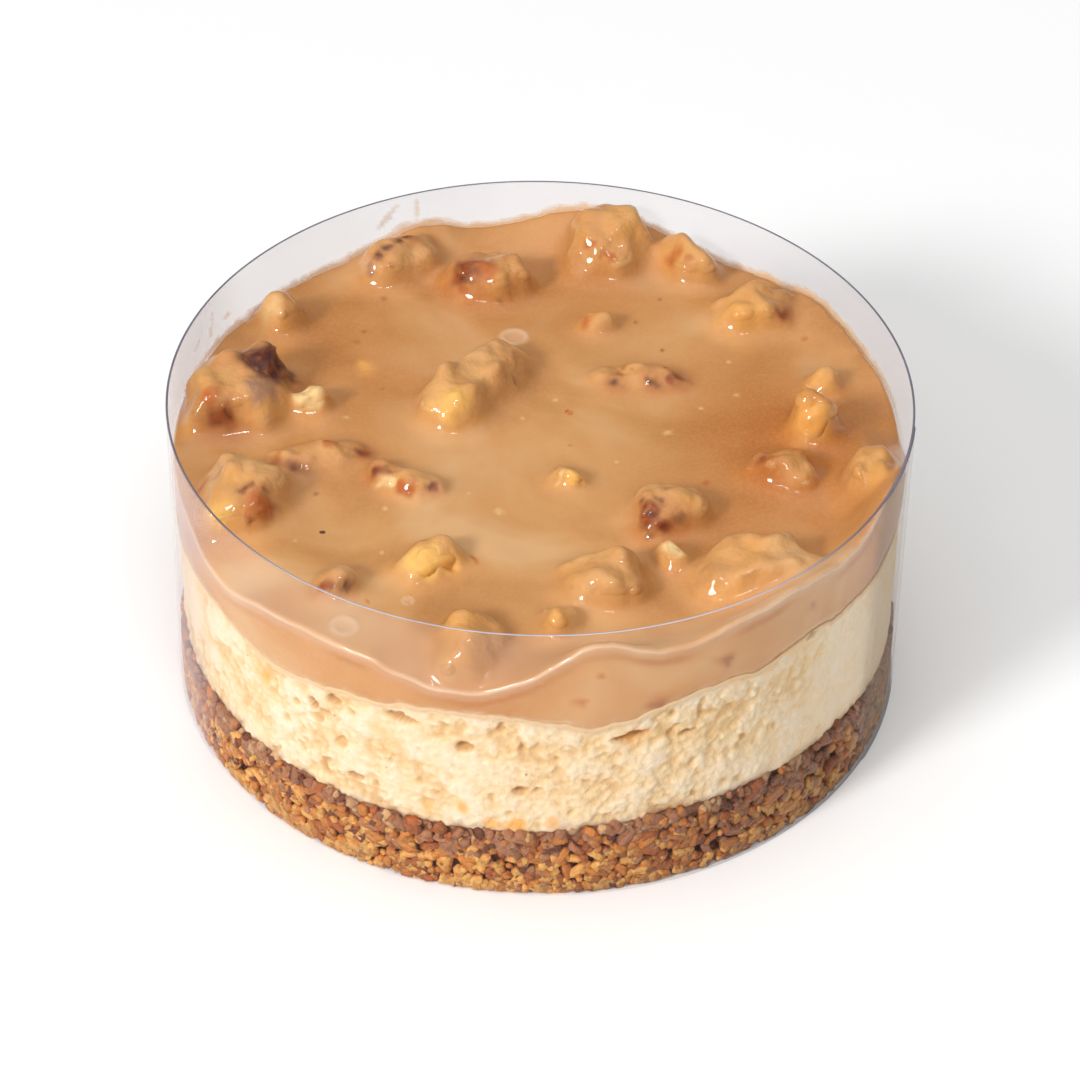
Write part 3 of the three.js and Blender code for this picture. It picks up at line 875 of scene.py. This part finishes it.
def add_cheese(material):
    side = [(CAKE_RADIUS, 1 + row / CHEESE_ROWS) for row in range(CHEESE_ROWS + 1)]
    profile = [(0, 0.5), (CAKE_RADIUS * 0.6, 0.5)] + side + [(CAKE_RADIUS * 0.6, 2.5), (0, 2.5)]
    mesh = turned(profile, CHEESE_SECTORS)
    marks = points_of(mesh)
    radius, azimuth = polar(marks)
    share = np.clip(marks[:, 2] - 1, 0, 1)
    low = base_edge(azimuth) + GAP - 0.2
    high = caramel_foot(azimuth) + 0.5
    on_side = (marks[:, 2] > 0.9) & (marks[:, 2] < 2.1)
    flat = np.where(marks[:, 2] < 0.9, BASE_HEIGHT + GAP, CHEESE_TOP)
    height = np.where(on_side, low + (high - low) * share, flat)
    skin = around(np.full_like(radius, CAKE_RADIUS), azimuth, height)
    curdy = smooth_between(np.cos(azimuth + 0.4) + 0.5 * ripple(skin, 12, 1.5), -0.2, 0.9)
    ragged = ripple(skin, 1.3, 2.8)
    bent = skin + 0.4 * swayed(skin, 1.3, 7.7)
    grains = curds(bent, 0.95)
    clots = curds(bent, 1.9)
    clumps = curds(bent + 0.5 * swayed(skin, 2.6, 9.1), 4.2)
    clotted = smooth_between(ripple(skin, 5.5, 8.1), -0.3, 0.3)
    pits = smooth_between(ripple(skin, 2.6, 4.2) + 0.5 * ragged, 0.45, 0.8)
    depth = 0.1
    for form, (least, more) in (
        (grains, GRAIN_DEPTH), (clots * clotted, CLOT_DEPTH), (clumps, CLUMP_DEPTH), (pits, PIT_DEPTH),
    ):
        depth = depth + form * (least + more * curdy)
    depth = depth + 0.08 * ripple(skin, 0.6, 6.6)
    depth = 0.12 + depth * smooth_between(caramel_foot(azimuth) - height, -0.1, 1.2)
    for middle, level, wide, tall, deep in HOLLOWS:
        across, up = round_the_side(azimuth, height, middle, level)
        away = np.hypot(across / wide, up / tall) + 0.4 * ragged
        depth = depth + deep * (1 - smooth_between(away, 0.7, 1.1))
    depth = np.clip(depth, 0.1, 2.4)
    put_points(mesh, around(np.where(on_side, radius - depth, radius), azimuth, height))
    grade(mesh, "crevice", np.clip((depth - 0.2) / 1.0, 0, 1) * on_side)
    stain = np.zeros((len(radius), 4))
    stain[:, :3] = linear(240, 176, 92)
    for middle, level, size, strength in STAINS:
        across, up = round_the_side(azimuth, height, middle, level)
        away = np.hypot(across, up) / size + 0.7 * ripple(skin, 1.6, 5.5)
        stain[:, 3] = np.maximum(stain[:, 3], strength * (1 - smooth_between(away, 0.1, 1.1)))
    line = np.exp(-np.maximum(height - low, 0) / 0.7) * smooth_between(ripple(skin, 2.2, 3.3), -0.3, 0.4)
    damp = line > stain[:, 3]
    stain[damp, :3] = linear(164, 120, 92)
    stain[:, 3] = np.maximum(stain[:, 3], line)
    under = 0.7 * (1 - smooth_between(caramel_foot(azimuth) - height + 0.5 * ragged, 0, 1))
    soaked = under > stain[:, 3]
    stain[soaked, :3] = linear(222, 178, 126)
    stain[:, 3] = np.clip(np.maximum(stain[:, 3], under), 0, 1) * on_side
    paint(mesh, "stain", stain)
    finish_piece("baked_cheese", mesh, [material], ["cheese_layer"])


# Crumb base: a dark core and the crumbs pressed into it

CRUMB_COUNT = 3800
FOOT_CRUMBS = 500
CRUMB_REACH = 49.65
CORE_RADIUS = 48.2
CORE_RISE = 0.75
CORE_ROWS = 30
CORE_SECTORS = 640
CRUMB_TONES = {
    "golden": linear(240, 168, 86),
    "toast": linear(208, 126, 50),
    "brown": linear(174, 94, 36),
    "dark": linear(116, 58, 24),
    "moist": linear(176, 116, 78),
    "creamy": linear(208, 160, 114),
}


def crumb_shape(rng, flake):
    """One crumb of about unit size: a granule from a ball, or a flake from a block with cut edges."""
    bm = bmesh.new()
    if flake:
        bmesh.ops.create_cube(bm, size=0.8)
        bmesh.ops.bevel(
            bm, geom=bm.edges[:], offset=0.16, affect="EDGES", segments=1, profile=0.5, material=-1)
        stretch = [rng.uniform(1.3, 1.9), rng.uniform(0.7, 0.9), rng.uniform(0.6, 1.0)]
    else:
        bmesh.ops.create_icosphere(bm, subdivisions=1, radius=0.55)
        stretch = [rng.uniform(0.8, 1.3), rng.uniform(0.8, 1.2), rng.uniform(0.6, 1.0)]
    bmesh.ops.scale(bm, vec=stretch, verts=bm.verts)
    for vertex in bm.verts:
        vertex.co *= rng.uniform(0.78, 1.2)
    return mesh_from(bm)


def dampness(azimuth, share):
    """How moist the base is: most at its top, and more on the right."""
    right = 0.5 + 0.5 * np.sin(azimuth)
    return np.clip(smooth_between(share, 0.5 - 0.15 * right, 1.0) + 0.22 * right, 0, 1)


def soak_and_shade(azimuth):
    """How much darker the base is on the right: partly soaked crumbs, partly painted shade on that side."""
    return 0.95 - 0.33 * smooth_between(0.5 + 0.5 * np.sin(azimuth), 0.45, 0.9)


def crumb_tone(rng, damp, share):
    """Golden where the base is dry, brown where it is moist, with cheese rubbed in at the very top."""
    weights = {
        "golden": 0.9 * (1 - damp) ** 1.5 + 0.04, "toast": 0.6 * (1 - 0.5 * damp), "brown": 0.3,
        "dark": 0.04 + 0.12 * damp, "moist": 1.3 * damp,
        "creamy": 0.4 * smooth_between(share, 0.8, 1),
    }
    name = rng.choices(list(weights), list(weights.values()))[0]
    lift = rng.uniform(0.85, 1.15)
    return lift * np.array(CRUMB_TONES[name])


def add_crumbs(material):
    rng = random.Random(11)
    granules = [crumb_shape(rng, False) for _ in range(10)]
    flakes = [crumb_shape(rng, True) for _ in range(8)]
    bm = bmesh.new()
    tints = []
    for index in range(CRUMB_COUNT):
        azimuth = rng.uniform(0, FULL_TURN)
        top = float(base_edge(azimuth))
        share = rng.random() ** 0.9 if index > FOOT_CRUMBS else 0.03
        flake = index % 5 == 0
        size = rng.uniform(1.5, 2.6) if flake else rng.uniform(0.9, 2.2)
        height = 0.3 * size + share * (top - 0.45 * size)
        radius = CRUMB_REACH - (0.16 + 0.2 * share) * size - abs(rng.gauss(0, 0.25))
        place = Matrix.Translation((radius * math.sin(azimuth), -radius * math.cos(azimuth), height))
        turn = Matrix.Rotation(azimuth, 4, "Z") @ Matrix.Rotation(rng.gauss(0, 0.7), 4, "Y")
        roll = Matrix.Rotation(rng.uniform(0, FULL_TURN), 4, "X")
        crumb = rng.choice(flakes if flake else granules).copy()
        crumb.transform(place @ turn @ roll @ Matrix.Scale(size, 4))
        bm.from_mesh(crumb)
        # Crumbs on the right are darkened, partly soaked and partly painted shade.
        tone = float(soak_and_shade(azimuth)) * crumb_tone(rng, float(dampness(azimuth, share)), share)
        tints += [(*tone, 1)] * len(crumb.vertices)
        bpy.data.meshes.remove(crumb)
    mesh = mesh_from(bm)
    points = points_of(mesh)
    radius, azimuth = polar(points)
    put_points(mesh, around(np.minimum(radius, CRUMB_REACH), azimuth, np.maximum(points[:, 2], 0.02)))
    paint(mesh, "crumb", np.array(tints))
    finish_piece("base_crumbs", mesh, [material])
    for shape in granules + flakes:
        bpy.data.meshes.remove(shape)


def add_core(material):
    """The pressed base behind the loose crumbs, packed out to the film at its moist top and its foot."""
    side = [(CORE_RADIUS, row / CORE_ROWS) for row in range(CORE_ROWS + 1)]
    mesh = turned([(0, 0), (CORE_RADIUS * 0.9, 0)] + side + [(0, 1)], CORE_SECTORS)
    marks = points_of(mesh)
    radius, azimuth = polar(marks)
    share = marks[:, 2]
    height = share * (base_edge(azimuth) - 0.1)
    skin = around(radius, azimuth, height)
    on_side = radius > CORE_RADIUS - 0.1
    damp = dampness(azimuth, share)
    packed = 0.45 * curds(skin + 0.4 * swayed(skin, 1.1, 3.3), 1.7)
    rough = 0.5 * ripple(skin, 1.6, 0.7) + 0.3 * ripple(skin, 0.8, 3.7)
    packed_out = np.maximum(smooth_between(share, 0.45, 0.8), 1 - smooth_between(share, 0.05, 0.25))
    bulge = CORE_RISE * packed_out - packed + rough * (1 - 0.5 * damp)
    reach = np.minimum(radius + bulge * on_side, CAKE_RADIUS)
    put_points(mesh, around(reach, azimuth, np.maximum(height, 0)))
    dry, moist = np.array(CRUMB_TONES["brown"]), np.array(CRUMB_TONES["moist"])
    colours = np.ones((len(radius), 4))
    colours[:, :3] = dry + (moist - dry) * damp[:, None]
    # Darker between the packed grains, where the core is pressed in, as painted shade in the gaps; darker on
    # the right, partly soaked and partly painted shade.
    colours[:, :3] *= (soak_and_shade(azimuth) * (1 + 0.25 * ripple(skin, 1.9, 6.4) - 0.5 * packed))[:, None]
    paint(mesh, "crumb", colours)
    finish_piece("base_core", mesh, [material], ["crumb_base"])


# Film collar

FILM_SECTORS = 520
FILM_LEVELS = [0, 0.2, 0.5, 1] + [2.6 * row for row in range(1, 12)] + [30 + 0.3 * row for row in range(51)]
HAZE = np.array(linear(240, 232, 238))
HAZE_BACK_SHADED = np.array(linear(218, 214, 221))
LAP = (63, 83)
LAP_STEP = 0.15
LAP_ALPHA = 0.16
FOOT_SHADOW_ALPHA = 0.45
EDGE_COAT_ALPHA = 0.75
SMEAR_ALPHA = 0.5
LEFT_EDGE_SHEEN = 0.2
RIGHT_EDGE_SHEEN = 0.1
LAP_TINT = np.array(linear(172, 154, 128))
THIN_CARAMEL = np.array(linear(232, 178, 92))
FOOT_SHADOW_TINT = np.array(linear(78, 72, 84))
RIM_FRONT_HIGHLIGHT = np.array(linear(206, 196, 202))
RIM_SIDE_SHADE = np.array(linear(112, 106, 118))
# Smears of caramel on the inside: azimuth, height, half width, half height and lean in degrees.
SMEARS = [
    (-152.8, 41.7, 2.1, 0.55, -44), (-158.3, 42.6, 0.3, 2.6, 0), (-155.5, 39.6, 2.0, 0.7, -25),
    (-113.2, 40.8, 0.35, 2.2, 10), (-108, 40.4, 1.2, 0.4, -20), (-118, 39.4, 1.0, 0.5, 10),
]


def add_film(material, edge_material):
    inside = [(FILM_INSIDE, level) for level in FILM_LEVELS]
    outside = [(FILM_OUTSIDE, height) for _, height in reversed(inside)]
    mesh = turned(inside + outside + inside[:1], FILM_SECTORS)
    points = points_of(mesh)
    radius, azimuth = polar(points)
    height = points[:, 2]
    start, end = (math.radians(angle) for angle in LAP)
    lapped = (azimuth > start) & (azimuth < end)
    outer = radius > (FILM_INSIDE + FILM_OUTSIDE) / 2
    put_points(mesh, around(radius + LAP_STEP * (lapped & outer), azimuth, height))
    dry = smooth_between(height - caramel_edge(azimuth), -1.4, -0.8)
    back = smooth_between(-np.cos(azimuth), -0.1, 0.5)
    mottle = ripple(points, 9, 1.1)
    colours = np.ones((len(points), 4))
    # Toward the back the haze is painted darker and thicker, as shade on the back wall.
    colours[:, :3] = HAZE + (HAZE_BACK_SHADED - HAZE) * back[:, None]
    # At the silhouettes, and a little more on the left, the haze is thicker: a painted sheen where the film is
    # seen edge-on.
    left_sheen = smooth_between(-np.sin(azimuth), 0.2, 0.8)
    edge_sheen = LEFT_EDGE_SHEEN * smooth_between(-np.sin(azimuth), 0.82, 1)
    edge_sheen = edge_sheen + RIGHT_EDGE_SHEEN * smooth_between(np.sin(azimuth), 0.82, 1)
    colours[:, 3] = 0.01 + edge_sheen + dry * (0.025 + 0.02 * left_sheen + 0.125 * back + 0.02 * mottle)
    colours[lapped, :3] = LAP_TINT
    colours[lapped, 3] = LAP_ALPHA
    # A painted shadow along the film's foot on the right.
    foot = FOOT_SHADOW_ALPHA * (1 - smooth_between(height, 0.1, 0.45)) * swell(azimuth, 75, 42)
    shaded = foot > colours[:, 3]
    colours[shaded, :3] = FOOT_SHADOW_TINT
    colours[shaded, 3] = foot[shaded]
    ragged = 0.4 * ripple(points, 1.6, 2.4) + 0.2 * ripple(points, 0.7, 5.1)
    above = height - caramel_edge(azimuth)
    thin = EDGE_COAT_ALPHA * (1 - smooth_between(above - 1.2 * ragged, -0.2, 1.3)) * back * (above > -0.8)
    coated = (thin > colours[:, 3]) & ~outer
    colours[coated, :3] = THIN_CARAMEL
    colours[coated, 3] = thin[coated]
    for middle, level, wide, tall, lean in SMEARS:
        across, up = round_the_side(azimuth, height, middle, level)
        angle = math.radians(lean)
        along = (across * math.cos(angle) + up * math.sin(angle)) / wide
        over = (up * math.cos(angle) - across * math.sin(angle)) / tall
        share = SMEAR_ALPHA * (1 - smooth_between(np.hypot(along, over) + 1.4 * ragged, 0.5, 1.4))
        more = (share > colours[:, 3]) & ~outer
        colours[more, :3] = THIN_CARAMEL
        colours[more, 3] = share[more]
    # The cut rim is painted pale at the front as a highlight and dark at the sides as shade.
    rim = height > FILM_HEIGHT - 0.01
    front = smooth_between(np.cos(azimuth), 0.55, 0.9)[rim, None]
    colours[rim, :3] = RIM_SIDE_SHADE + (RIM_FRONT_HIGHLIGHT - RIM_SIDE_SHADE) * front
    paint(mesh, "film", colours)
    piece = finish_piece("film_collar_strip", mesh, [material, edge_material], ["film_collar"])
    for face in piece.data.polygons:
        if face.normal.z > 0.9:
            face.material_index = 1


# Floor and light

LOW_SKY = 0.25
HIGH_SKY = 1.15
# Lamps: name, place, width, height and watts. The narrow ones only put glints on the nuts.
LAMPS = [
    ("key", (-2.2, -2.0, 1.75), 0.8, 0.8, 79),
    ("glint", (0.14, -0.5, 0.78), 0.3, 0.03, 1.1),
    ("side_glint", (-0.3, -0.48, 0.72), 0.12, 0.03, 0.3),
]


def add_floor():
    bm = bmesh.new()
    bmesh.ops.create_grid(bm, x_segments=1, y_segments=1, size=3)
    mesh = mesh_from(bm)
    finish = Finish("pale_floor")
    tint = finish.ramp(finish.noise(400), (0.4, (0.95, 0.95, 0.95)), (0.6, (0.96, 0.96, 0.96)))
    finish.link(tint, finish.shader.inputs["Base Color"])
    finish.set(Roughness=0.9, Specular_IOR_Level=0.1)
    mesh.materials.append(finish.material)
    floor = bpy.data.objects.new("floor", mesh)
    floor.location.z = -0.0002
    bpy.context.scene.collection.objects.link(floor)


def add_light(name, place, width, height, watts):
    data = bpy.data.lights.new(name, "AREA")
    data.shape = "ELLIPSE"
    data.size = width
    data.size_y = height
    data.energy = watts
    light = bpy.data.objects.new(name, data)
    light.location = place
    light.rotation_euler = (AIM - Vector(place)).to_track_quat("-Z", "Y").to_euler()
    bpy.context.scene.collection.objects.link(light)


def add_studio():
    add_floor()
    world = bpy.data.worlds.new("studio")
    world.use_nodes = True
    nodes, links = world.node_tree.nodes, world.node_tree.links
    backdrop = nodes["Background"]
    backdrop.inputs["Color"].default_value = (1, 1, 1, 1)
    direction = nodes.new("ShaderNodeTexCoord")
    height = nodes.new("ShaderNodeSeparateXYZ")
    brighter_above = nodes.new("ShaderNodeMapRange")
    brighter_above.interpolation_type = "SMOOTHSTEP"
    for name, value in zip(("From Min", "From Max", "To Min", "To Max"), (0.5, 1, LOW_SKY, HIGH_SKY)):
        brighter_above.inputs[name].default_value = value
    links.new(direction.outputs["Generated"], height.inputs["Vector"])
    links.new(height.outputs["Z"], brighter_above.inputs["Value"])
    links.new(brighter_above.outputs["Result"], backdrop.inputs["Strength"])
    bpy.context.scene.world = world
    for lamp in LAMPS:
        add_light(*lamp)
    bpy.context.scene.view_settings.view_transform = "Standard"


caramel_look = caramel_finish()
walnut_look = walnut_finish()
crumb_look = crumb_finish()
add_core(crumb_look)
add_crumbs(crumb_look)
add_cheese(cheese_finish())
kernels = {node: walnut_mesh(node) for node in WALNUTS}
coat = coat_grids(kernels)
add_caramel(coat, caramel_look)
add_specks(coat["height"], walnut_look)
add_walnuts(kernels, walnut_look)
add_film(film_finish(), film_edge_finish())
add_studio()
